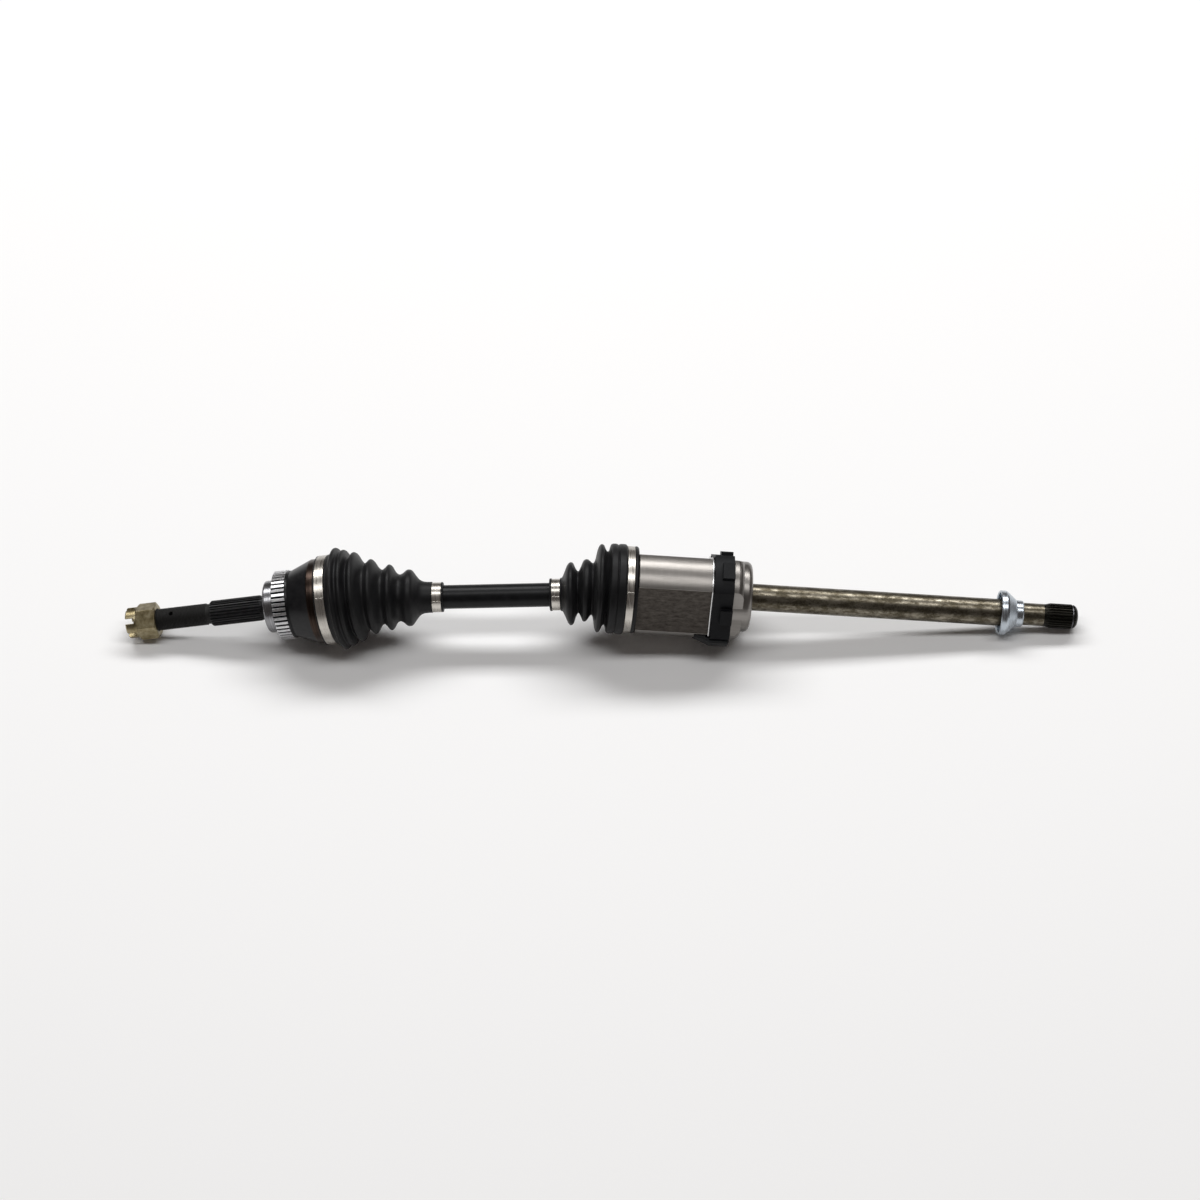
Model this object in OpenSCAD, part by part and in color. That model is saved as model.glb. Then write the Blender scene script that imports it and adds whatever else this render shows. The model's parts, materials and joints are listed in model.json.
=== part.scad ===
// Front drive axle with a ball joint at the wheel end, a tripod joint at the gearbox end and a
// long intermediate shaft. It lies on a level surface, bent a little at both joints.
// Every sub-part is drawn along its own axis, with its joint's centre at zero, and then placed.

/* [Layout] */
// Distance between the two joint centres
bar_span = 340; // [330:1:360]
// Slope of the wheel side below level, in degrees
stub_droop = 9.2; // [4:0.1:12]
// Slope of the bar, rising towards the gearbox, in degrees
bar_rise = 1.2; // [0:0.1:3]
// Slope of the gearbox side below level, in degrees
shaft_droop = 6; // [4:0.1:8]
// Turn of the first housing lobe, from the front up towards the top, in degrees
lobe_turn = 77; // [60:1:100]

/* [Wheel side] */
// Length from the joint centre to the tip of the stub
stub_length = 186; // [184:1:190]
// Diameter of the stub's thread
thread_d = 22; // [21.6:0.1:22.4]
// Pitch of the stub's thread
thread_pitch = 1.5; // [1.25:0.25:2]
// Diameter over the hub spline's teeth
hub_spline_d = 25.8; // [25.4:0.1:26.2]
// Number of hub spline teeth
hub_spline_teeth = 27; // [23:1:30]
// Diameter of the seal land behind the hub spline
seal_d = 52.6; // [51:0.2:54]
// Diameter of the bell around the balls
bell_d = 85; // [84:0.5:86]
// Width of the hub nut across its flats
nut_flats = 32; // [30:1:34]
// Length of the nut's hexagon
nut_hex_length = 20.2; // [18:0.2:22]
// Length of the nut's slotted turret
nut_turret_length = 11.1; // [9:0.1:12]
// Diameter over the teeth of the speed sensor ring
tone_ring_d = 69.6; // [69:0.2:71]
// Number of teeth on the speed sensor ring
tone_teeth = 44; // [36:1:48]

/* [Ball joint] */
// Number of balls
ball_count = 6; // [6:1:6]
// Diameter of a ball
ball_d = 16.4; // [16:0.1:16.6]
// Radius of the circle of ball centres
ball_pitch_r = 28; // [27.8:0.1:28.2]
// Room around a ball in its groove, for the cage's tilt
groove_room = 0.9; // [0.8:0.1:1.1]
// Radius of the bell's spherical bore
bell_bore_r = 31.6; // [31.6:0.1:32]

/* [Bar] */
// Diameter of the bar
bar_d = 24; // [23.6:0.1:24]
// Diameter of the bar's splined ends
bar_end_d = 24.9; // [24.6:0.1:25]

/* [Tripod joint] */
// Radius of the circle of roller centres
roller_pitch_r = 26.5; // [26:0.1:27]
// Outer diameter of a roller
roller_d = 27; // [26.4:0.2:27]
// Width of a roller
roller_width = 10; // [9:0.5:10]
// Room around a roller in its track
track_room = 0.9; // [0.8:0.1:1]
// Diameter of a trunnion
trunnion_d = 15.6; // [15:0.1:15.8]
// Number of needles under a roller
needle_count = 20; // [14:1:22]

/* [Gearbox side] */
// Diameter over the housing's lobes
lobe_d = 87.2; // [86.4:0.2:88]
// Distance of a recess from the housing's axis
recess_r = 34.6; // [34.2:0.1:35]
// Diameter of the turned land at the housing's end
end_land_d = 70.4; // [70:0.2:71]
// Diameter of the long shaft
shaft_d = 27; // [26:0.2:28]
// Distance from the joint centre to the tip of the long shaft
shaft_tip = 411.5; // [408:0.5:416]
// Diameter of the shaft's neck
neck_d = 22.4; // [22:0.1:22.8]
// Diameter over the gearbox spline's teeth
box_spline_d = 24.8; // [24.4:0.1:25.2]
// Number of gearbox spline teeth
box_spline_teeth = 25; // [22:1:28]
// Diameter of the shaft's dust ring
dust_ring_d = 44.6; // [42:0.2:46]

/* [Boots] */
// Wall of a boot
boot_wall = 2.4; // [2:0.1:2.6]
// Number of sides of a boot's mesh
boot_sides = 36; // [24:4:40]

/* [Hidden] */
$fn = 96;
eps = 0.05;

// Wheel side stations, measured from the ball joint's centre
thread_end = -129.2;
groove_end = -125.2;
hub_spline_end = -70;
seal_start = -66.4;
seal_end = -55.2;
tone_end = -41;
cone_start = -39;
cone_end = -16;
bell_end = 15;
seal_mid = -59.5;
tone_seat_r = 30.5;
cotter_hole_r = 2.25;
cotter_hole_x = -165.3;
cotter_turn = 75;
nut_turn = 55;
tip_past_hex = 5;

// Gearbox side stations, measured from the tripod's centre, along the housing
housing_mouth = -57;
boot_seat_end = -34;
boot_seat_r = 40.8;
lobe_seat_r = 39.6;
cavity_end = 45;
lobe_end = 71;
housing_end = 80.5;
dust_ring_x = 332;
neck_start = 337;
box_spline_start = 379;
box_groove_x = 405.5;
circlip_width = 1.4;
collar_start = 41;
collar_end = 60.6;
lug_start = 48.5;

// Bar stations, measured from the ball joint's centre
race_half = 12;
hub_half = 10;
bar_left = -15.5;
bar_right = bar_span + 14.5;

race_r = ball_pitch_r - 1.1;
cage_in_r = race_r + 0.1;
cage_out_r = bell_bore_r - 0.15;
groove_r = ball_d / 2 + groove_room;
roller_r = roller_d / 2;
trunnion_r = trunnion_d / 2;
needle_r = 1.1;
needle_ring_r = trunnion_r + needle_r + eps;
roller_bore_r = needle_ring_r + needle_r + eps;
track_top = 35.2;
bore_room = 0.01;

// Places of the two joint centres, with the seal land's middle at the origin
ball_centre = [-seal_mid * cos(stub_droop), 0, -seal_mid * sin(stub_droop)];
tripod_centre = ball_centre + bar_span * [cos(bar_rise), 0, sin(bar_rise)];

module on_stub() translate(ball_centre) rotate([0, -stub_droop, 0]) children();
module on_cage() translate(ball_centre) rotate([0, -(stub_droop + bar_rise) / 2, 0]) children();
module on_bar() translate(ball_centre) rotate([0, -bar_rise, 0]) children();
module on_spider() translate(tripod_centre) rotate([0, -bar_rise, 0]) children();
module on_housing() translate(tripod_centre) rotate([0, shaft_droop, 0]) children();

// Turns a shape drawn along Z to lie along X
module along_x() rotate([0, 90, 0]) children();
// Turns a feature to an angle from the front (-Y) up towards the top (+Z), before along_x
module facing(turn) rotate([0, 0, 270 - turn]) children();

// A solid of revolution from [place along the axis, radius] points
module turned(points) rotate_extrude() polygon([for (p = points) [p[1], p[0]]]);
module ring(from, to, inner, outer) {
  turned([[from, inner], [from, outer], [to, outer], [to, inner]]);
}
module rod(from, to, radius) translate([0, 0, from]) cylinder(h = to - from, r = radius);
// An open retaining ring with a gap
module open_ring(from, to, inner, outer, gap) {
  rotate_extrude(start = gap / 2, angle = 360 - gap) translate([inner, from])
    square([outer - inner, to - from]);
}
// Points of an arc, as [place along the axis, radius]
function arc(x, r, rx, rr, a0, a1, n) = [
  for (i = [0 : n]) let (a = a0 + (a1 - a0) * i / n) [x + rx * cos(a), r + rr * sin(a)]
];
// A toothed outline with straight flanks
module toothed(outer, inner, teeth, land = 0.28, foot = 0.26) {
  pitch = 360 / teeth;
  polygon([
    for (i = [0 : teeth - 1]) for (c = [[-0.5 + foot / 2, inner], [-land / 2, outer],
        [land / 2, outer], [0.5 - foot / 2, inner]])
      [c[1] * cos((i + c[0]) * pitch), c[1] * sin((i + c[0]) * pitch)]
  ]);
}
module splined(from, to, outer, depth, teeth) {
  translate([0, 0, from]) linear_extrude(to - from) toothed(outer, outer - depth, teeth);
}

// ---- Wheel side ----

function thread_points(from, to, outer, depth, pitch) = [
  for (i = [0 : floor((to - from) / pitch) - 1])
    for (c = [[0.1, depth], [0.45, 0], [0.55, 0], [0.9, depth]])
      [from + (i + c[0]) * pitch, outer - c[1]]
];

// Part of a ring-shaped tube that a ball runs in, from angle a0 to a1 above the axis
module ball_groove(a0, a1) {
  rotate([90, 0, 0]) rotate_extrude(start = a0, angle = a1 - a0)
    translate([ball_pitch_r, 0]) circle(r = groove_r);
}
module ball_grooves(a0, a1) {
  for (i = [0 : ball_count - 1]) rotate([i * 360 / ball_count, 0, 0]) ball_groove(a0, a1);
}

module stub_turning() {
  spline_core = hub_spline_d / 2 - 1.5;
  thread_r = thread_d / 2;
  turned(concat(
    [[-stub_length, 0], [-stub_length, thread_r - 1.8]],
    thread_points(-stub_length + 1, thread_end, thread_r, 0.75, thread_pitch),
    [[thread_end, thread_r - 0.9], [groove_end, thread_r - 0.9], [groove_end, spline_core],
      [hub_spline_end + 1, spline_core], [seal_start - 1.6, spline_core + 0.4],
      [seal_start, spline_core + 2]],
    arc(seal_start + 2.4, seal_d / 2 - 2.4, -2.4, 2.4, 0, 90, 5),
    [[seal_end, seal_d / 2], [seal_end, tone_seat_r], [tone_end, tone_seat_r],
      [tone_end, tone_ring_d / 2 - 1], [cone_start, tone_ring_d / 2 - 1],
      [cone_start, tone_ring_d / 2 - 1.6], [cone_end - 1.5, bell_d / 2 - 0.6],
      [cone_end, bell_d / 2], [bell_end - 1, bell_d / 2], [bell_end, bell_d / 2 - 1],
      [bell_end, 0]]
  ));
}

module outer_race() {
  color([0.12, 0.12, 0.13]) on_stub() difference() {
    along_x() union() {
      stub_turning();
      intersection() {
        splined(groove_end, hub_spline_end, hub_spline_d / 2, 1.3, hub_spline_teeth);
        turned([[groove_end, 0], [groove_end, hub_spline_d / 2 - 1.2],
          [groove_end + 1.6, hub_spline_d / 2], [hub_spline_end - 4, hub_spline_d / 2],
          [hub_spline_end, hub_spline_d / 2 - 1.4], [hub_spline_end, 0]]);
      }
    }
    sphere(r = bell_bore_r);
    along_x() turned([[5, 0], [5, bell_bore_r - 0.9], [bell_end + 1, bell_bore_r + 2.5],
      [bell_end + 1, 0]]);
    ball_grooves(40, 129);
    along_x() facing(cotter_turn) translate([0, 0, cotter_hole_x]) rotate([0, 90, 0])
      cylinder(h = thread_d + 4, r = cotter_hole_r, center = true);
  }
}

module hub_nut() {
  hex_start = tip_past_hex - stub_length;
  hex_left = hex_start - nut_hex_length;
  corner_r = nut_flats / 2 / cos(30);
  turret_r = nut_flats / 2 - 0.5;
  tip = hex_left - nut_turret_length;
  color([0.72, 0.64, 0.42]) on_stub() along_x() facing(nut_turn + 30) difference() {
    union() {
      intersection() {
        rod(hex_left, hex_start, corner_r, $fn = 6);
        turned([[hex_left, 0], [hex_left, turret_r], [hex_left + 1.9, corner_r + 0.1],
          [hex_start - 1.9, corner_r + 0.1], [hex_start, turret_r], [hex_start, 0]]);
      }
      turned([[tip, 0], [tip, turret_r - 1.2], [tip + 1.2, turret_r], [hex_left + 1, turret_r],
        [hex_left + 1, 0]]);
    }
    turned([[tip - 1, 0], [tip - 1, thread_d / 2 + 1.8], [tip + 1, thread_d / 2 + eps],
      [hex_start - 1.2, thread_d / 2 + eps], [hex_start + 1, thread_d / 2 + 2],
      [hex_start + 1, 0]]);
    for (i = [0 : 2]) rotate([0, 0, 30 + 60 * i])
      translate([-nut_flats, -2.85, tip - 1]) cube([2 * nut_flats, 5.7, 10]);
  }
}

module abs_tone_ring() {
  depth = 1.7;
  color([0.8, 0.8, 0.82]) on_stub() along_x() difference() {
    union() {
      translate([0, 0, seal_end + 0.8]) linear_extrude(tone_end - seal_end - 0.8)
        toothed(tone_ring_d / 2, tone_ring_d / 2 - depth, tone_teeth, 0.56, 0.3);
      ring(seal_end, seal_end + 0.8, tone_seat_r, tone_ring_d / 2 - depth - 0.4);
    }
    rod(seal_end - 1, tone_end + 1, tone_seat_r);
  }
}

// ---- Clamps ----

// A band with a second layer over part of its turn and a raised edge where that layer ends
module band_clamp(from, to, inner, thick, turn, overlap) {
  along_x() union() {
    ring(from, to, inner, inner + thick);
    facing(turn) rotate_extrude(start = 0, angle = overlap)
      translate([inner + thick - eps, from]) square([0.6 + eps, to - from]);
    facing(turn) translate([inner + thick - 0.5, -0.7, from + 0.4])
      cube([1.6, 1.4, to - from - 0.8]);
  }
}

module outboard_boot_clamp_large() {
  color([0.78, 0.76, 0.73]) on_stub() band_clamp(-7.6, 1.5, 44.2, 1, 50, 42);
}
module outboard_boot_clamp_small() {
  color([0.78, 0.76, 0.73]) on_bar() band_clamp(101.5, 110.5, 14, 0.9, 30, 60);
}
module inboard_boot_clamp_large() {
  color([0.78, 0.76, 0.73]) on_housing() band_clamp(-45.2, -38.2, 42.6, 0.9, 44, 40);
}
module inboard_boot_clamp_small() {
  color([0.78, 0.76, 0.73]) on_spider() band_clamp(-118.2, -109.9, 15, 0.9, 40, 60);
}

// ---- Boots ----

function smooth(t) = let (u = max(0, min(1, t))) u * u * (3 - 2 * u);
// A point s along a boot's bent axis, r from it, at turn a. The slope goes from tilt0 to tilt1.
function bent(s, r, a, tilt0, tilt1, s0, s1) =
  let (tilt = tilt0 + (tilt1 - tilt0) * smooth((s - s0) / (s1 - s0)), up = r * sin(a))
    [s * cos(tilt) - up * sin(tilt), r * cos(a), s * sin(tilt) + up * cos(tilt)];

// A ring-shaped shell from a closed loop of [s, r] points, bent about the joint's centre
module bellows(loop, tilt0, tilt1, s0, s1) {
  n = len(loop);
  m = boot_sides;
  function at(i, k) = (i % n) * m + k % m;
  polyhedron(
    points = [for (p = loop) for (k = [0 : m - 1])
      bent(p[0], p[1], 360 * k / m, tilt0, tilt1, s0, s1)],
    faces = [for (i = [0 : n - 1]) for (k = [0 : m - 1])
      for (f = [[at(i, k), at(i + 1, k), at(i + 1, k + 1)],
          [at(i, k), at(i + 1, k + 1), at(i, k + 1)]]) f],
    convexity = 10
  );
}
// The folds' inner points, one wall below the outer ones, in reverse order
function lining(folds) = [for (i = [len(folds) - 1 : -1 : 0]) folds[i] - [0, boot_wall]];

module outboard_boot() {
  collar = [[-9.5, 42.7], [-9.5, 45], [-7.8, 45], [-7.8, 44.15], [1.7, 44.15], [1.7, 45],
    [4.5, 45.2]];
  folds = [[7, 47.5], [9.5, 51.4], [12, 49], [13.5, 47.2], [17.5, 48.5], [22.3, 40.5],
    [27, 45], [36.5, 33.5], [42.5, 37.6], [52, 27.5], [59.5, 33], [68.5, 23.6], [78.5, 28.4],
    [84, 24], [88.5, 18.6]];
  neck = [[93, 16.4], [101, 15.6], [101.2, 13.95], [110.8, 13.95], [110.8, 15], [112.5, 15],
    [112.5, 12.05], [93, 12.05]];
  color([0.1, 0.1, 0.1]) translate(ball_centre)
    bellows(concat(collar, folds, neck, lining(folds), [[6, 42.7]]), stub_droop, bar_rise, 13, 75);
}

module inboard_boot() {
  neck = [[-107, 12.05], [-120.8, 12.05], [-120.8, 16.4], [-118.5, 16.4], [-118.5, 14.95],
    [-109.6, 14.95], [-109.6, 16.6], [-107.4, 17.6]];
  folds = [[-103, 28], [-99.8, 31.5], [-96, 28], [-91.8, 20.8], [-87, 30], [-84.8, 31],
    [-81, 29], [-77.8, 26], [-74, 40], [-70.8, 44], [-67, 42], [-64.5, 36.8], [-62.5, 43]];
  collar = [[-60.5, 45], [-54.8, 45], [-54.2, 44], [-53.4, 45.2], [-46.5, 45.2],
    [-45.5, 42.55], [-37.9, 42.55], [-37.6, 43.5], [-34.6, 43.5], [-34.1, 42.6],
    [-34.1, 41], [-60.5, 41]];
  color([0.1, 0.1, 0.1]) translate(tripod_centre)
    bellows(concat(neck, folds, collar, lining(folds)), bar_rise, -shaft_droop, -106, -64);
}

// ---- Ball joint ----

module outboard_cage() {
  color([0.45, 0.45, 0.47]) on_cage() difference() {
    intersection() {
      sphere(r = cage_out_r);
      along_x() rod(-13, 13, bell_bore_r + 1);
    }
    sphere(r = cage_in_r);
    for (i = [0 : ball_count - 1]) rotate([i * 360 / ball_count, 0, 0])
      rod(10, bell_bore_r + 2, ball_d / 2 + 0.15);
  }
}

module outboard_balls() {
  color([0.85, 0.85, 0.87]) on_cage() for (i = [0 : ball_count - 1])
    rotate([i * 360 / ball_count, 0, 0]) translate([0, 0, ball_pitch_r]) sphere(r = ball_d / 2);
}

module inner_race() {
  color([0.55, 0.55, 0.57]) on_bar() difference() {
    intersection() {
      sphere(r = race_r);
      along_x() rod(-race_half, race_half, race_r + 1);
    }
    along_x() rod(-race_half - 1, race_half + 1, bar_end_d / 2 + bore_room);
    ball_grooves(45, 135);
  }
}

module inner_race_circlip() {
  color([0.3, 0.3, 0.32]) on_bar() along_x()
    open_ring(-race_half - circlip_width, -race_half, bar_end_d / 2 - 1.3, bar_end_d / 2 + 1.5, 40);
}

// ---- Bar ----

module bar_shaft() {
  end_r = bar_end_d / 2;
  groove = end_r - 1.3;
  left = -race_half;
  right = bar_span + hub_half;
  color([0.1, 0.1, 0.11]) on_bar() along_x() turned([
    [bar_left, 0], [bar_left, end_r - 1], [bar_left + 1, end_r], [left - circlip_width, end_r],
    [left - circlip_width, groove], [left, groove], [left, end_r],
    [race_half + 2, end_r], [race_half + 3, bar_d / 2], [bar_span - hub_half - 3, bar_d / 2],
    [bar_span - hub_half - 2, end_r], [right, end_r], [right, groove],
    [right + circlip_width, groove], [right + circlip_width, end_r], [bar_right - 1, end_r],
    [bar_right, end_r - 1], [bar_right, 0]
  ]);
}

// ---- Tripod joint ----

module on_trunnion(i) facing(lobe_turn + 120 * i) rotate([0, 90, 0]) children();

module tripod_spider() {
  color([0.5, 0.5, 0.52]) on_spider() along_x() difference() {
    union() {
      rod(-hub_half, hub_half, 19);
      for (i = [0 : 2]) on_trunnion(i) {
        rod(12.6, 31.6, trunnion_r);
        rod(31, 33.7, trunnion_r - 1.2);
      }
    }
    rod(-hub_half - 1, hub_half + 1, bar_end_d / 2 + bore_room);
  }
}

module tripod_circlip() {
  color([0.3, 0.3, 0.32]) on_spider() along_x()
    open_ring(hub_half, hub_half + circlip_width, bar_end_d / 2 - 1.3, bar_end_d / 2 + 1.5, 40);
}

module tripod_roller(i) {
  half = roller_width / 2;
  color([0.7, 0.7, 0.72]) on_spider() along_x() on_trunnion(i)
    translate([0, 0, roller_pitch_r]) difference() {
      intersection() {
        sphere(r = roller_r);
        rod(-half, half, roller_r + 1);
      }
      rod(-half - 1, half + 1, roller_bore_r);
    }
}

module needle_rollers() {
  half = roller_width / 2 - 0.3;
  color([0.8, 0.8, 0.82]) on_spider() along_x() for (i = [0 : 2]) on_trunnion(i)
    for (k = [0 : needle_count - 1]) rotate([0, 0, k * 360 / needle_count])
      translate([needle_ring_r, 0, 0]) rod(roller_pitch_r - half, roller_pitch_r + half, needle_r);
}

module needle_retainers() {
  color([0.35, 0.35, 0.37]) on_spider() along_x() for (i = [0 : 2]) on_trunnion(i)
    ring(31.7, 32.9, trunnion_r - 1.2, trunnion_r + 2.6);
}

// ---- Gearbox side ----

// The housing's outline: a circle with three shallow hollows between the lobes
module trilobe(outer, hollow) {
  hollow_curve_r = 300;
  difference() {
    circle(r = outer);
    for (i = [0 : 2]) facing(lobe_turn + 60 + 120 * i)
      translate([hollow + hollow_curve_r, 0]) circle(r = hollow_curve_r, $fn = 360);
  }
}
module lobed(from, to, outer, hollow) {
  translate([0, 0, from]) linear_extrude(to - from) trilobe(outer, hollow);
}

// The inside of the housing: a mouth that widens outwards and three roller tracks
module housing_cavity() {
  turned([[housing_mouth - 1, 0], [housing_mouth - 1, 32.5], [-20, 22.5], [cavity_end + 3, 22.5],
    [cavity_end + 14, 14], [cavity_end + 14, 0]]);
  translate([0, 0, housing_mouth - 2]) linear_extrude(cavity_end - housing_mouth + 2)
    for (i = [0 : 2]) facing(lobe_turn + 120 * i) intersection() {
      translate([roller_pitch_r, 0]) circle(r = roller_r + track_room);
      translate([10, -20]) square([track_top - 10, 40]);
    }
}

module inboard_housing() {
  lobe_r = lobe_d / 2;
  land_r = end_land_d / 2;
  color([0.62, 0.58, 0.54]) on_housing() along_x() difference() {
    union() {
      intersection() {
        lobed(housing_mouth, lobe_end, lobe_r, recess_r);
        turned(concat(
          [[housing_mouth - 1, 0], [housing_mouth - 1, lobe_seat_r - 2],
            [housing_mouth + 1, lobe_seat_r],
            [boot_seat_end, lobe_seat_r], [boot_seat_end, lobe_r - 0.6],
            [boot_seat_end + 0.7, lobe_r + 0.1]],
          arc(lobe_end - 7, lobe_r - 8, 8, 8.1, 90, 10, 6),
          [[lobe_end + 1, 0]]
        ));
      }
      turned(concat([[collar_end + 0.4, 0], [collar_end + 0.4, land_r]],
        arc(housing_end - 5.5, land_r - 5.5, 5.5, 5.5, 90, 0, 6),
        [[housing_end, 14.5], [housing_end, 0]]));
    }
    housing_cavity();
  }
}

module inboard_boot_adaptor() {
  color([0.14, 0.14, 0.14]) on_housing() along_x() difference() {
    rod(housing_mouth + 1.2, boot_seat_end - 0.5, boot_seat_r - eps);
    lobed(housing_mouth - 1, boot_seat_end + 1, lobe_seat_r + eps, recess_r + eps);
  }
}

module intermediate_shaft() {
  shaft_r = shaft_d / 2;
  neck_r = neck_d / 2;
  spline_r = box_spline_d / 2;
  tip = shaft_tip;
  color([0.5, 0.47, 0.4]) on_housing() along_x() union() {
    turned([[housing_end, 0], [housing_end, shaft_r + 0.9], [housing_end + 1, shaft_r],
      [neck_start - 1, shaft_r], [neck_start, shaft_r - 1], [neck_start, neck_r],
      [box_spline_start, neck_r], [box_spline_start, neck_r - 0.2], [box_groove_x, neck_r - 0.2],
      [box_groove_x, neck_r - 1.2], [box_groove_x + circlip_width, neck_r - 1.2],
      [box_groove_x + circlip_width, neck_r - 0.2], [tip - 4, neck_r - 0.2], [tip, neck_r - 4],
      [tip, 0]]);
    intersection() {
      splined(box_spline_start, tip, spline_r, 1.5, box_spline_teeth);
      difference() {
        turned(concat([[box_spline_start, 0], [box_spline_start, neck_r],
          [box_spline_start + 5, spline_r]],
          arc(tip - 7, spline_r - 6, 7, 6, 90, 0, 6), [[tip, 0]]));
        ring(box_groove_x, box_groove_x + circlip_width, neck_r - 1.2, spline_r + 1);
      }
    }
  }
}

module spline_circlip() {
  neck_r = neck_d / 2;
  color([0.3, 0.3, 0.32]) on_housing() along_x()
    open_ring(box_groove_x + 0.1, box_groove_x + circlip_width - 0.1, neck_r - 1.15,
      neck_r + 0.6, 30);
}

module shaft_dust_ring() {
  rim_r = dust_ring_d / 2;
  shaft_r = shaft_d / 2;
  neck_r = neck_d / 2 + 0.02;
  x = dust_ring_x;
  color([0.72, 0.76, 0.8]) on_housing() along_x() turned([
    [x, rim_r - 0.9], [x + 0.9, rim_r], [x + 6, rim_r], [x + 8, rim_r - 1], [x + 15, 15.5],
    [x + 17, 13.6], [x + 23, 13.2], [x + 24, 12.4], [x + 24, neck_r], [neck_start + 0.5, neck_r],
    [neck_start + 0.5, shaft_r + 0.4], [x + 10, shaft_r + 1.4], [x + 6.5, rim_r - 2.6],
    [x + 1, rim_r - 2.2]
  ]);
}

// A slice of the collar: its outline follows the housing's, with square lugs on it
module collar_slice(from, to, grow, lug_top) {
  translate([0, 0, from]) linear_extrude(to - from) difference() {
    union() {
      trilobe(lobe_d / 2 + grow, recess_r + grow);
      for (i = [0 : 2]) facing(lobe_turn + 60 + 120 * i)
        translate([recess_r - 2, -8]) square([lug_top + 2, 16]);
      for (i = [0 : 1]) facing(lobe_turn + 120 * i)
        translate([lobe_d / 2 - 3, -9]) square([lug_top + 1.5, 18]);
    }
    trilobe(lobe_d / 2 + eps, recess_r + eps);
  }
}

module dust_collar() {
  lobe_r = lobe_d / 2;
  foot_start = collar_start - 15.6;
  color([0.16, 0.16, 0.17]) on_housing() along_x() {
    collar_slice(collar_start, lug_start, 4.5, 0);
    collar_slice(lug_start, collar_end, 4.5, 9.4);
    facing(lobe_turn - 120) rotate_extrude(start = -22, angle = 44)
      polygon([[lobe_r + eps, foot_start], [lobe_r + 0.8, foot_start],
        [lobe_r + 7.6, collar_start + 1], [lobe_r + 7.6, collar_end - 1],
        [lobe_r + 2, collar_end - 1], [lobe_r + 2, collar_start - 4],
        [lobe_r + eps, collar_start - 4]]);
  }
}

module dust_collar_band() {
  lobe_r = lobe_d / 2;
  color([0.8, 0.8, 0.8]) on_housing() along_x() difference() {
    lobed(collar_start - 2.2, collar_start - 0.1, lobe_r + 2, recess_r + 2.2);
    lobed(20, collar_end, lobe_r + eps, recess_r + eps);
    facing(lobe_turn - 120) rotate_extrude(start = -25, angle = 50)
      translate([recess_r - 2, 20]) square([20, 40]);
  }
}

outer_race();
hub_nut();
abs_tone_ring();
outboard_boot();
outboard_boot_clamp_large();
outboard_boot_clamp_small();
outboard_cage();
outboard_balls();
inner_race();
inner_race_circlip();
bar_shaft();
tripod_spider();
tripod_circlip();
tripod_roller(0);  // tripod_roller_1
tripod_roller(1);  // tripod_roller_2
tripod_roller(2);  // tripod_roller_3
needle_rollers();
needle_retainers();
inboard_boot();
inboard_boot_adaptor();
inboard_boot_clamp_large();
inboard_boot_clamp_small();
inboard_housing();
intermediate_shaft();
dust_collar();
dust_collar_band();
shaft_dust_ring();
spline_circlip();
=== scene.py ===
"""The looks of a drive axle with two bellows boots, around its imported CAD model."""
import json
import math

import bmesh
import bpy
from mathutils import Matrix, Vector


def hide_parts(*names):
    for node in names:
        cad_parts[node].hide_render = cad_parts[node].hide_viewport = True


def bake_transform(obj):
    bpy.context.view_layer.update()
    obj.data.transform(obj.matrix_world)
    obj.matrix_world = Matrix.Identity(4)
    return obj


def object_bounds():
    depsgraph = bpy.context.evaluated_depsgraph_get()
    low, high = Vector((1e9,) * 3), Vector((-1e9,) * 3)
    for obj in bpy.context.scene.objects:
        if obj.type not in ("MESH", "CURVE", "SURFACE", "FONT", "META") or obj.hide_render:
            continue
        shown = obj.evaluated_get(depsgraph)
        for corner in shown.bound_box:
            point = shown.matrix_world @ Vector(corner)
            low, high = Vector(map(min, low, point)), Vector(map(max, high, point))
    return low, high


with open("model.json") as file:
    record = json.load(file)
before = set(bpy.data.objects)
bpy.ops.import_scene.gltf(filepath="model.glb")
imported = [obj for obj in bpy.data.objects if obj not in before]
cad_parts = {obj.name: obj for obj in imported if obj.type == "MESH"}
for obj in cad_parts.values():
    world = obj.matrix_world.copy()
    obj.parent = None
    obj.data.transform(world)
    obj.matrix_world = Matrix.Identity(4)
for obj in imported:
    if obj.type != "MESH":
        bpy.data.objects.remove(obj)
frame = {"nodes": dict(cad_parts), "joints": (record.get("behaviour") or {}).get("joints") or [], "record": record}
cad_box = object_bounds()
joints = {j["name"]: j for j in frame["joints"]}
MM = 0.001

# ---- The axle's own axes, from its joints ----

ball_centre = Vector(joints["outboard_bend"]["pos_m"])
tripod_centre = Vector(joints["inboard_bend"]["pos_m"])
stub_dir = Vector(joints["hub_nut_run"]["axis"]).normalized()
housing_dir = Vector(joints["inboard_plunge"]["axis"]).normalized()
bar_dir = (tripod_centre - ball_centre).normalized()


def slope(direction):
    return math.atan2(direction.z, direction.x)


def smooth(t):
    u = max(0.0, min(1.0, t))
    return u * u * (3 - 2 * u)


def mesh_piece(name, bm, material, auto_smooth=None):
    """A new object from a bmesh, smooth shaded, with one material."""
    bmesh.ops.recalc_face_normals(bm, faces=bm.faces)
    mesh = bpy.data.meshes.new(name)
    bm.to_mesh(mesh)
    bm.free()
    piece = bpy.data.objects.new(name, mesh)
    bpy.context.scene.collection.objects.link(piece)
    mesh.materials.append(material)
    for face in mesh.polygons:
        face.use_smooth = True
    if auto_smooth:
        mesh.set_sharp_from_angle(angle=math.radians(auto_smooth))
    return piece


# ---- Materials ----


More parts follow.
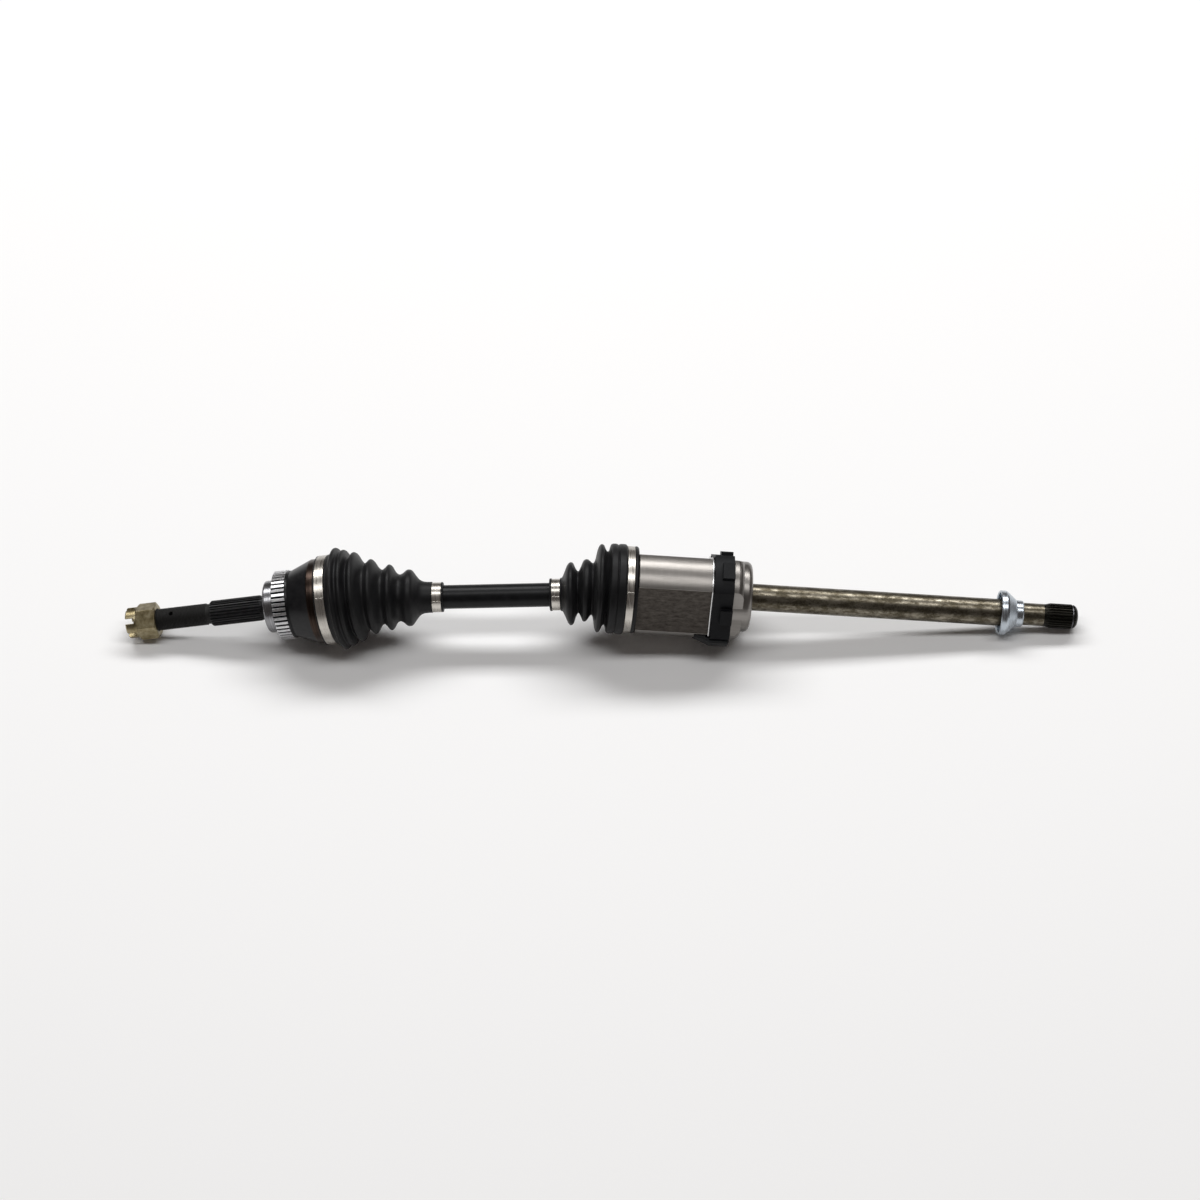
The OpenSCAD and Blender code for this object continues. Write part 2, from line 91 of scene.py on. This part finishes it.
class Nodes:
    """A material's node tree, with short ways to add what the materials share."""

    def __init__(self, name):
        self.material = bpy.data.materials.new(name)
        self.material.use_nodes = True
        self.tree = self.material.node_tree
        self.shader = self.tree.nodes["Principled BSDF"]

    def add(self, kind, **values):
        made = self.tree.nodes.new(kind)
        for key, value in values.items():
            if key in made.inputs:
                made.inputs[key].default_value = value
            else:
                setattr(made, key, value)
        return made

    def link(self, source, target):
        self.tree.links.new(source, target)

    def set(self, **values):
        for key, value in values.items():
            self.shader.inputs[key.replace("_", " ")].default_value = value

    def place(self, scale=(1, 1, 1), axis=None):
        """Coordinates from an axis's centre, with x along it, then scaled.

        axis: (centre, direction)."""
        centre, direction = axis or (Vector(), Vector((1, 0, 0)))
        where = self.add("ShaderNodeTexCoord")
        mapping = self.add("ShaderNodeMapping", vector_type="TEXTURE")
        mapping.inputs["Location"].default_value = centre
        mapping.inputs["Rotation"].default_value = (0, -slope(direction), 0)
        mapping.inputs["Scale"].default_value = [1 / s for s in scale]
        self.link(where.outputs["Object"], mapping.inputs["Vector"])
        return mapping.outputs["Vector"]

    def noise(self, where, scale, detail=4.0, rough=0.55):
        made = self.add("ShaderNodeTexNoise", Scale=scale, Detail=detail, Roughness=rough)
        self.link(where, made.inputs["Vector"])
        return made.outputs["Fac"]

    def ramp(self, factor, stops):
        """stops: (place, colour or grey) pairs."""
        made = self.add("ShaderNodeValToRGB")
        elements = made.color_ramp.elements
        while len(elements) < len(stops):
            elements.new(0.5)
        for element, (place, value) in zip(elements, stops):
            element.position = place
            grey = isinstance(value, (int, float))
            element.color = (value, value, value, 1) if grey else (*value, 1)
        self.link(factor, made.inputs["Fac"])
        return made.outputs["Color"]

    def mix(self, factor, first, second, blend="MIX"):
        made = self.add("ShaderNodeMix", data_type="RGBA", blend_type=blend)
        # The Mix node's factor, A and B sockets for colours
        for value, index in ((factor, 0), (first, 6), (second, 7)):
            socket = made.inputs[index]
            if hasattr(value, "is_linked"):
                self.link(value, socket)
            else:
                number = isinstance(value, (int, float))
                socket.default_value = value if number else (*value, 1)
        return made.outputs[2]

    def bump(self, height, strength, distance, rounding=0.0):
        """Bump from a height, over edges rounded by a bevel in the shading."""
        made = self.add("ShaderNodeBump", Strength=strength, Distance=distance)
        self.link(height, made.inputs["Height"])
        if rounding:
            bevel = self.add("ShaderNodeBevel", samples=4, Radius=rounding)
            self.link(bevel.outputs["Normal"], made.inputs["Normal"])
        self.link(made.outputs["Normal"], self.shader.inputs["Normal"])

    def axial(self, axis):
        """Distance along an axis from its centre, and distance from that axis, both in metres."""
        split = self.add("ShaderNodeSeparateXYZ")
        self.link(self.place(axis=axis), split.inputs[0])
        across = self.add("ShaderNodeCombineXYZ")
        self.link(split.outputs["Y"], across.inputs["Y"])
        self.link(split.outputs["Z"], across.inputs["Z"])
        length = self.add("ShaderNodeVectorMath", operation="LENGTH")
        self.link(across.outputs[0], length.inputs[0])
        return split.outputs["X"], length.outputs["Value"]

    def math(self, operation, first, second):
        made = self.add("ShaderNodeMath", operation=operation)
        for value, socket in zip((first, second), made.inputs):
            if isinstance(value, (int, float)):
                socket.default_value = value
            else:
                self.link(value, socket)
        return made.outputs[0]

    def inside(self, value, low, high):
        """1 where value lies between low and high, in mm, and 0 elsewhere."""
        above = self.math("GREATER_THAN", value, low * MM)
        return self.product(above, self.math("LESS_THAN", value, high * MM))

    def product(self, first, second):
        return self.math("MULTIPLY", first, second)

    def sum(self, first, second):
        return self.math("ADD", first, second)

    def colour(self, source):
        self.link(source, self.shader.inputs["Base Color"])

    def roughness(self, source):
        self.link(source, self.shader.inputs["Roughness"])


STUB = (ball_centre, stub_dir)
BAR = (ball_centre, bar_dir)
HOUSING = (tripod_centre, housing_dir)
# Turned marks run round an axis, so they change along it and stay the same across it
TURNED = (1, 0.02, 0.02)

# Where a finish lies: from and to in mm, along the stub's axis or the housing's
THREAD = (-200, -125)
TURNED_BAND = (-17, -9)
SEAL_LAND = (-68, -55)
HOLLOWS = (-40, 60.5)
BAND_RIM = (38, 39.6)
END_SPLINE = (377, 420)
# The same, from an axis outwards
RING_GAPS = (0, 33.7)
LAND_RADIUS = (15, 40)
HOLLOW_RADIUS = (20, 43.3)


def plated_metal(name, dark, light, rough, axis):
    """Bright plated or ground steel with fine turned marks and soft stains."""
    n = Nodes(name)
    fine = n.noise(n.place(TURNED, axis), 900, 3)
    stains = n.noise(n.place((1, 1, 1), axis), 60, 5)
    base = n.ramp(stains, [(0.3, dark), (0.7, light)])
    n.colour(n.mix(0.25, base, n.ramp(fine, [(0.35, dark), (0.65, light)])))
    n.roughness(n.ramp(fine, [(0.2, rough - 0.08), (0.8, rough + 0.1)]))
    n.set(Metallic=1.0)
    n.bump(fine, 0.12, 0.0002, 0.0004)
    return n.material


def tone_ring_zinc():
    """Bright zinc teeth, with dull gaps between them that are painted near-black as shade."""
    n = Nodes("tone_ring_zinc")
    where = n.place((1, 1, 1), STUB)
    fine = n.noise(where, 900, 4)
    radius = n.axial(STUB)[1]
    teeth = n.ramp(fine, [(0.3, (0.42, 0.42, 0.43)), (0.7, (0.74, 0.74, 0.75))])
    # Painted shade: everything below the teeth's radius, the gap floors included, is coloured near-black; the
    # higher roughness there is the real dull finish
    shaded_gap = n.inside(radius, *RING_GAPS)
    n.colour(n.mix(shaded_gap, teeth, (0.012, 0.012, 0.014)))
    n.roughness(n.mix(shaded_gap, n.ramp(fine, [(0.2, 0.22), (0.8, 0.4)]), (0.6, 0.6, 0.6)))
    n.set(Metallic=1.0)
    n.bump(fine, 0.1, 0.0002, 0.0005)
    return n.material


def black_steel():
    """Satin black phosphate over machined steel."""
    n = Nodes("black_phosphate")
    where = n.place((1, 1, 1), BAR)
    cloud = n.noise(where, 140, 5)
    grit = n.noise(where, 1600, 3)
    n.colour(n.ramp(cloud, [(0.3, (0.003, 0.003, 0.0035)), (0.7, (0.008, 0.008, 0.009))]))
    n.roughness(n.ramp(grit, [(0.2, 0.3), (0.8, 0.42)]))
    n.set(Specular_IOR_Level=0.2)
    n.bump(grit, 0.1, 0.0002, 0.0005)
    return n.material


def wheel_side_steel():
    """Black stub and bell, a dull thread, a bare seal land and a brownish turned band."""
    n = Nodes("wheel_side_steel")
    where = n.place((1, 1, 1), STUB)
    cloud = n.noise(where, 140, 5)
    grit = n.noise(where, 1600, 3)
    rings = n.noise(n.place(TURNED, STUB), 1500, 3)
    along, radius = n.axial(STUB)
    black = n.ramp(cloud, [(0.3, (0.004, 0.004, 0.005)), (0.7, (0.012, 0.012, 0.013))])
    dull = n.ramp(grit, [(0.3, (0.006, 0.006, 0.006)), (0.7, (0.020, 0.019, 0.018))])
    turned = n.ramp(rings, [(0.3, (0.016, 0.011, 0.009)), (0.7, (0.06, 0.042, 0.034))])
    bare = n.ramp(rings, [(0.3, (0.17, 0.17, 0.18)), (0.7, (0.36, 0.36, 0.37))])
    thread = n.inside(along, *THREAD)
    band = n.inside(along, *TURNED_BAND)
    land = n.product(n.inside(along, *SEAL_LAND), n.inside(radius, *LAND_RADIUS))
    n.colour(n.mix(land, n.mix(band, n.mix(thread, black, dull), turned), bare))
    rough = n.mix(thread, n.ramp(grit, [(0.2, 0.24), (0.8, 0.38)]), (0.62, 0.62, 0.62))
    n.roughness(n.mix(land, n.mix(band, rough, (0.3, 0.3, 0.3)), (0.26, 0.26, 0.26)))
    n.link(n.sum(land, band), n.shader.inputs["Metallic"])
    n.set(Specular_IOR_Level=0.26)
    n.bump(grit, 0.1, 0.0002, 0.0005)
    return n.material


def boot_rubber():
    """Matte black elastomer with a fine moulded grain, a dusty bloom on it and a soft sheen."""
    n = Nodes("boot_rubber")
    where = n.place()
    grain = n.noise(where, 2600, 3)
    dust = n.noise(where, 45, 6, 0.65)
    n.colour(n.ramp(dust, [(0.3, (0.004, 0.004, 0.0045)), (0.75, (0.010, 0.010, 0.011))]))
    n.roughness(n.ramp(dust, [(0.3, 0.4), (0.8, 0.56)]))
    n.set(Specular_IOR_Level=0.2, Sheen_Weight=0.01, Sheen_Roughness=0.5)
    n.bump(grain, 0.1, 0.00015)
    return n.material


def aged_shaft():
    """Bare drawn steel under an uneven olive-brown patina, darker towards the spline."""
    n = Nodes("aged_shaft_steel")
    streak = n.noise(n.place((0.08, 1, 1), HOUSING), 260, 6, 0.6)
    blotch = n.noise(n.place((0.5, 1, 1), HOUSING), 150, 7, 0.7)
    pits = n.noise(n.place((1, 1, 1), HOUSING), 700, 5, 0.7)
    along = n.axial(HOUSING)[0]
    clean = n.ramp(streak, [(0.3, (0.13, 0.115, 0.088)), (0.7, (0.33, 0.30, 0.24))])
    brown = n.ramp(pits, [(0.35, (0.018, 0.014, 0.008)), (0.7, (0.11, 0.092, 0.058))])
    patina = n.mix(n.ramp(blotch, [(0.38, 0.0), (0.56, 0.9)]), clean, brown)
    spline = n.inside(along, *END_SPLINE)
    black = n.ramp(pits, [(0.3, (0.006, 0.006, 0.005)), (0.7, (0.022, 0.020, 0.016))])
    n.colour(n.mix(spline, patina, black))
    n.roughness(n.ramp(blotch, [(0.3, 0.24), (0.7, 0.46)]))
    n.set(Metallic=0.95)
    n.bump(pits, 0.15, 0.00025, 0.0004)
    return n.material


def forged_housing():
    """Turned bare steel on the lobes and the end, a rough brownish forged skin in the hollows."""
    n = Nodes("housing_steel")
    turned = n.noise(n.place(TURNED, HOUSING), 1400, 3)
    stains = n.noise(n.place((0.12, 1, 1), HOUSING), 90, 5, 0.6)
    skin = n.noise(n.place((0.35, 1, 1), HOUSING), 420, 7, 0.75)
    along, radius = n.axial(HOUSING)
    clean = n.ramp(stains, [(0.3, (0.165, 0.155, 0.143)), (0.7, (0.285, 0.27, 0.255))])
    marks = n.ramp(turned, [(0.3, (0.14, 0.13, 0.12)), (0.7, (0.42, 0.40, 0.38))])
    bright = n.mix(0.06, clean, marks)
    rough = n.ramp(skin, [(0.3, (0.032, 0.027, 0.023)), (0.72, (0.125, 0.112, 0.100))])
    hollow = n.product(n.inside(along, *HOLLOWS), n.inside(radius, *HOLLOW_RADIUS))
    n.colour(n.mix(hollow, bright, rough))
    n.roughness(n.mix(hollow, n.ramp(turned, [(0.2, 0.3), (0.8, 0.36)]), (0.5, 0.5, 0.5)))
    n.set(Metallic=1.0)
    n.bump(n.mix(hollow, turned, skin), 0.05, 0.0002, 0.0005)
    return n.material


def collar_band_zinc():
    """A thin bright rim at the band's free edge, and a dull grey behind it."""
    n = Nodes("collar_band")
    fine = n.noise(n.place((1, 1, 1), HOUSING), 900, 3)
    along = n.axial(HOUSING)[0]
    bright = n.ramp(fine, [(0.3, (0.5, 0.5, 0.5)), (0.7, (0.85, 0.85, 0.85))])
    dull = n.ramp(fine, [(0.3, (0.02, 0.02, 0.021)), (0.7, (0.05, 0.05, 0.052))])
    n.colour(n.mix(n.inside(along, *BAND_RIM), dull, bright))
    n.roughness(n.ramp(fine, [(0.2, 0.2), (0.8, 0.34)]))
    n.set(Metallic=1.0)
    n.bump(fine, 0.1, 0.0002)
    return n.material


def moulded_plastic():
    """Black plastic with a fine moulded texture."""
    n = Nodes("collar_plastic")
    where = n.place()
    texture = n.noise(where, 1300, 4)
    cloud = n.noise(where, 80, 4)
    n.colour(n.ramp(cloud, [(0.3, (0.002, 0.0022, 0.003)), (0.7, (0.006, 0.0066, 0.008))]))
    n.roughness(n.ramp(texture, [(0.2, 0.4), (0.8, 0.6)]))
    n.set(Specular_IOR_Level=0.16)
    n.bump(texture, 0.2, 0.0003, 0.0008)
    return n.material


def yellow_zinc():
    """Yellow zinc plate, uneven in colour."""
    n = Nodes("yellow_zinc")
    where = n.place((1, 1, 1), STUB)
    cloud = n.noise(where, 170, 6, 0.6)
    fine = n.noise(where, 1500, 3)
    tint = n.ramp(cloud, [(0.25, (0.13, 0.105, 0.05)), (0.5, (0.27, 0.225, 0.13)),
                          (0.75, (0.44, 0.39, 0.26))])
    n.colour(n.mix(0.2, tint, n.ramp(fine, [(0.3, 0.2), (0.7, 0.8)]), "OVERLAY"))
    n.roughness(n.ramp(fine, [(0.2, 0.26), (0.8, 0.44)]))
    n.set(Metallic=1.0)
    n.bump(fine, 0.15, 0.0002, 0.0007)
    return n.material


GROUND = (0.45, 0.45, 0.46), (0.70, 0.70, 0.71)
CLAMP = (0.36, 0.34, 0.31), (0.66, 0.63, 0.58)
BLUE_ZINC = (0.34, 0.38, 0.42), (0.60, 0.65, 0.70)
SPRING = (0.06, 0.06, 0.065), (0.16, 0.16, 0.17)
finishes = {
    "black_steel": black_steel(),
    "zinc_yellow": yellow_zinc(),
    "bright_zinc": tone_ring_zinc(),
    "clamp_steel": plated_metal("clamp_steel", *CLAMP, 0.28, STUB),
    "boot_rubber": boot_rubber(),
    "ground_steel": plated_metal("ground_steel", *GROUND, 0.2, BAR),
    "forged_steel": forged_housing(),
    "aged_steel": aged_shaft(),
    "collar_plastic": moulded_plastic(),
    "blue_zinc": plated_metal("blue_zinc", *BLUE_ZINC, 0.27, HOUSING),
    "spring_steel": plated_metal("spring_steel", *SPRING, 0.35, HOUSING),
}
node_finishes = {
    "outer_race": wheel_side_steel(),
    "dust_collar_band": collar_band_zinc(),
}
for part in frame["record"]["subparts"]:
    cad_node = frame["nodes"][part["node"]]
    cad_node.data.materials.clear()
    cad_node.data.materials.append(node_finishes.get(part["node"], finishes[part["material_slot"]]))

# ---- Boots ----

SEGMENTS = 160
CURVE_STEPS = 5
INNER_STEPS = 2
# Where each boot's own axis bends at rest, in mm from its joint's centre
OUTBOARD_SPAN = (13, 75)
INBOARD_SPAN = (-106, -64)


def bent_point(centre, tilts, span, s, r, turn):
    """A point s along a boot's bent axis and r from it, turn round it.

    The axis tilts from tilts[0] to tilts[1] over the span."""
    tilt = tilts[0] + (tilts[1] - tilts[0]) * smooth((s - span[0]) / (span[1] - span[0]))
    up = r * math.sin(turn)
    x = s * math.cos(tilt) - up * math.sin(tilt)
    z = s * math.sin(tilt) + up * math.cos(tilt)
    return centre + MM * Vector((x, r * math.cos(turn), z))


def curved(points, steps):
    """A smooth curve through [s, r] points, a Catmull-Rom spline.

    A point with a third value is a sharp corner."""
    out = []
    count = len(points)
    for i in range(count - 1):
        p1, p2 = points[i], points[i + 1]
        p0 = points[i - 1] if i and len(p1) == 2 else p1
        p3 = points[i + 2] if i + 2 < count and len(p2) == 2 else p2
        pieces = 1 if len(p1) == 3 and len(p2) == 3 else steps
        for k in range(pieces):
            t = k / pieces
            out.append([
                0.5 * (2 * p1[a] + (p2[a] - p0[a]) * t
                       + (2 * p0[a] - 5 * p1[a] + 4 * p2[a] - p3[a]) * t * t
                       + (3 * p1[a] - p0[a] - 3 * p2[a] + p3[a]) * t ** 3)
                for a in (0, 1)
            ])
    out.append(points[-1][:2])
    return out


def bellows(name, outer, inner, centre, tilts, span):
    """A bellows shell turned from an outer and an inner line, both given as [s, r] in mm."""
    loop = curved(outer, CURVE_STEPS) + curved(inner, INNER_STEPS)[::-1]
    bm = bmesh.new()
    rings = []
    for s, r in loop:
        rings.append([
            bm.verts.new(bent_point(centre, tilts, span, s, r, math.tau * k / SEGMENTS))
            for k in range(SEGMENTS)
        ])
    for i, ring in enumerate(rings):
        after = rings[(i + 1) % len(rings)]
        for k in range(SEGMENTS):
            j = (k + 1) % SEGMENTS
            bm.faces.new((ring[k], after[k], after[j], ring[j]))
    return mesh_piece(name, bm, finishes["boot_rubber"], 50)


def corner(s, r):
    """A sharp corner of a line."""
    return (s, r, "corner")


outboard_outer = [
    corner(-9.4, 44.3), (-9.0, 45.0), corner(-7.8, 45.0), corner(-7.8, 44.1), corner(1.7, 44.1),
    corner(1.7, 45.2), (3.2, 45.6), (5.2, 46.0), (6.6, 47.6), (8.0, 50.7), (9.5, 51.27),
    (11.0, 50.5), (12.4, 47.8), (14.0, 47.0), (15.8, 48.1), (17.5, 48.4), (19.1, 47.0),
    (20.8, 42.5), (22.5, 40.4), (24.2, 42.2), (25.7, 44.6), (27.4, 45.1), (29.5, 43.4),
    (32.7, 37.4), (36.2, 33.6), (39.0, 35.2), (41.0, 37.3), (42.9, 37.5), (45.2, 35.4),
    (48.6, 30.0), (52.0, 27.4), (55.1, 29.4), (57.7, 32.5), (59.8, 33.0), (62.1, 31.2),
    (65.3, 25.8), (68.5, 23.6), (72.0, 24.8), (75.6, 27.8), (78.4, 28.5), (81.4, 27.4),
    (85.0, 22.6), (88.5, 18.4), (92.0, 16.4), (96.0, 15.7), corner(101.2, 15.6),
    corner(101.2, 13.9), corner(110.8, 13.9), corner(110.8, 15.1), (111.8, 15.1),
    corner(112.5, 14.6),
]
outboard_inner = [
    corner(-9.4, 42.75), corner(6.0, 42.75), (9.5, 48.6), (13.5, 44.7), (17.5, 45.6),
    (22.3, 38.0), (27, 42.2), (36.5, 31.0), (42.5, 34.8), (52, 25.0), (59.5, 30.2), (68.5, 21.2),
    (78.5, 25.8), (88.5, 16.0), corner(93, 12.1), corner(112.5, 12.1),
]
outboard_boot = bellows(
    "outboard_boot_bellows", outboard_outer, outboard_inner, ball_centre,
    (slope(stub_dir), slope(bar_dir)), OUTBOARD_SPAN,
)
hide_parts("outboard_boot")
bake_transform(outboard_boot)

# The inboard boot is two meshes that meet in a valley: the small one holds the bend between bar and housing, the
# big one runs along the housing

inboard_neck = [
    corner(-120.6, 15.6), (-120.0, 16.4), corner(-118.5, 16.4), corner(-118.5, 14.9),
    corner(-109.7, 14.9), corner(-109.7, 16.6), (-107.8, 17.4), (-105.4, 22.4), (-102.8, 28.6),
    (-100.0, 31.5), (-97.0, 30.4), (-94.4, 24.4), (-91.8, 20.9), (-89.6, 24.6), (-87.2, 30.0),
    (-84.8, 31.2), (-82.4, 30.2), (-79.6, 27.0), (-77.8, 26.2), (-76.2, 29.4), (-74.4, 38.8),
    (-72.6, 43.2), (-70.6, 44.2), (-68.6, 42.8), (-66.6, 38.4), (-64.8, 36.6),
]
inboard_fold = [
    (-64.8, 36.6), (-63.2, 38.6), (-62.0, 43.4), (-60.2, 44.85), (-57.6, 45.1), (-55.4, 44.8),
    (-54.2, 43.9), (-53.0, 44.9), (-50.4, 45.2), (-47.0, 45.0), corner(-45.8, 44.0),
    corner(-45.6, 42.5), corner(-37.8, 42.5), corner(-37.6, 43.2), (-36.6, 43.7), (-35.2, 43.4),
    corner(-34.1, 42.4),
]
neck_inner = [
    corner(-120.6, 12.1), corner(-107, 12.1), (-102, 25.2), (-99.8, 28.6), (-95.5, 25.5),
    (-91.8, 18.8), (-88, 25.6), (-84.8, 28.8), (-80.6, 26.4), (-77.8, 24.4), (-74, 34.8),
    (-70.8, 41.2), (-67, 37.6), (-64.8, 34.0),
]
fold_inner = [(-64.8, 34.0), (-62.2, 39.6), corner(-60.5, 41.1), corner(-34.1, 41.1)]
inboard_tilts = (slope(bar_dir), slope(housing_dir))
inboard_small = bellows(
    "inboard_boot_bellows_small", inboard_neck, neck_inner, tripod_centre,
    inboard_tilts, INBOARD_SPAN,
)
inboard_big = bellows(
    "inboard_boot_bellows_big", inboard_fold, fold_inner, tripod_centre,
    inboard_tilts, INBOARD_SPAN,
)
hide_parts("inboard_boot")
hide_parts("inboard_boot")
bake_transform(inboard_big)
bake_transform(inboard_small)

# ---- Stage ----


scene = bpy.context.scene
scene.view_settings.view_transform = "Standard"
middle = (cad_box[0] + cad_box[1]) / 2


def stage():
    """A pale floor, just under the axle's lowest point, that runs out of sight on every side."""
    floor_half = 12
    floor_z = cad_box[0].z - 0.0002
    bm = bmesh.new()
    corners = [(-1, -1), (1, -1), (1, 1), (-1, 1)]
    bm.faces.new([bm.verts.new((x * floor_half, y * floor_half, floor_z)) for x, y in corners])
    n = Nodes("pale_floor")
    n.set(Base_Color=(0.94, 0.94, 0.94, 1), Roughness=0.75)
    mesh_piece("floor", bm, n.material)


def strip_light(name, angle, distance, size, radiance):
    """A softbox along the axle. angle: its direction, from the front (-Y) up towards the top."""
    turn = math.radians(angle)
    light = bpy.data.lights.new(name, "AREA")
    light.shape = "RECTANGLE"
    light.size, light.size_y = size
    light.energy = radiance * math.pi * size[0] * size[1]
    lamp = bpy.data.objects.new(name, light)
    scene.collection.objects.link(lamp)
    lamp.location = middle + distance * Vector((0, -math.cos(turn), math.sin(turn)))
    lamp.rotation_euler = (middle - lamp.location).to_track_quat("-Z", "Y").to_euler()


def studio_world():
    """A dim warm surrounding, which the dark sides of the metal reflect."""
    world = bpy.data.worlds.new("studio")
    scene.world = world
    world.use_nodes = True
    background = world.node_tree.nodes["Background"]
    background.inputs["Color"].default_value = (1.0, 0.9, 0.85, 1)
    background.inputs["Strength"].default_value = 0.1


stage()
strip_light("rear_strip", angle=125, distance=4.5, size=(6.4, 1.0), radiance=9)
strip_light("top_strip", angle=82, distance=4.0, size=(6.0, 0.8), radiance=5)
studio_world()

# ---- Camera ----


def camera():
    """At the viewing angle: above and in front, far away with a long lens."""
    azimuth, elevation, roll = (math.radians(a) for a in (2.5, 48.5, -2.33))
    distance = 3.53
    aim = Vector((0.3282, 0, 0.0055))
    back = Vector((
        math.sin(azimuth) * math.cos(elevation),
        -math.cos(azimuth) * math.cos(elevation),
        math.sin(elevation),
    ))
    data = bpy.data.cameras.new("camera")
    data.sensor_width = 36
    data.lens = 105.4
    eye = bpy.data.objects.new("camera", data)
    scene.collection.objects.link(eye)
    eye.location = aim + back * distance
    facing = (-back).to_track_quat("-Z", "Y").to_matrix()
    eye.rotation_euler = (facing @ Matrix.Rotation(roll, 3, "Z")).to_euler()
    scene.camera = eye


camera()
